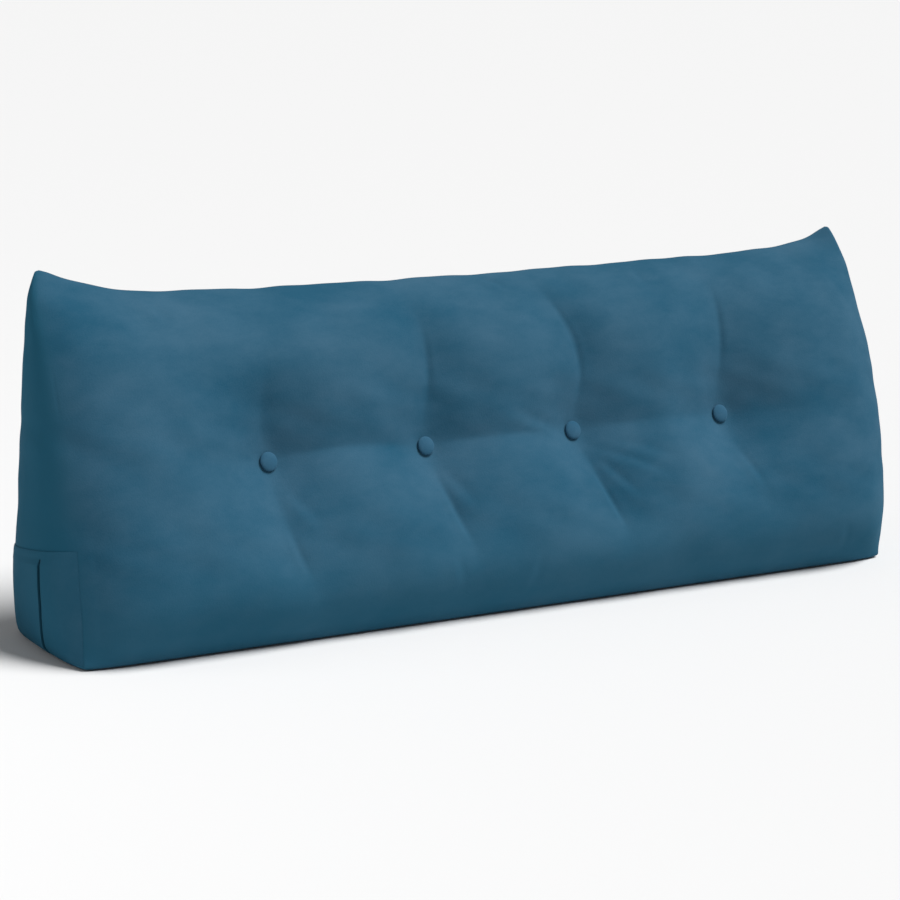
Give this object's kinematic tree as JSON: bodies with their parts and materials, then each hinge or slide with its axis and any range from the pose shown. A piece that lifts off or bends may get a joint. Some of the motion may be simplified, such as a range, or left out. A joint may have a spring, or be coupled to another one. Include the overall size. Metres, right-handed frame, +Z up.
{
  "type": "backrest pillow",
  "caption": "Wedge-shaped tufted velvet backrest pillow that stands on its base, with covered buttons, pointed top corners and a side pocket.",
  "frame": {"origin": "centre of the flat base, on the surface that the pillow stands on", "axes": "+X along the pillow to its right end as seen from the padded face, +Y out of the back, -Y out of the padded face, +Z up"},
  "size_m": [1.5034, 0.2589, 0.504],
  "materials": {
    "cover_velvet": "short-pile velvet, petrol blue",
    "button_velvet": "short-pile velvet drawn over a button, petrol blue",
    "pocket_velvet": "short-pile velvet, petrol blue, hemmed"
  },
  "bodies": {
    "root": {"cushion": "cover_velvet", "button_1": "button_velvet", "button_2": "button_velvet", "button_3": "button_velvet", "button_4": "button_velvet", "side_pocket": "pocket_velvet"}
  },
  "joints": []
}
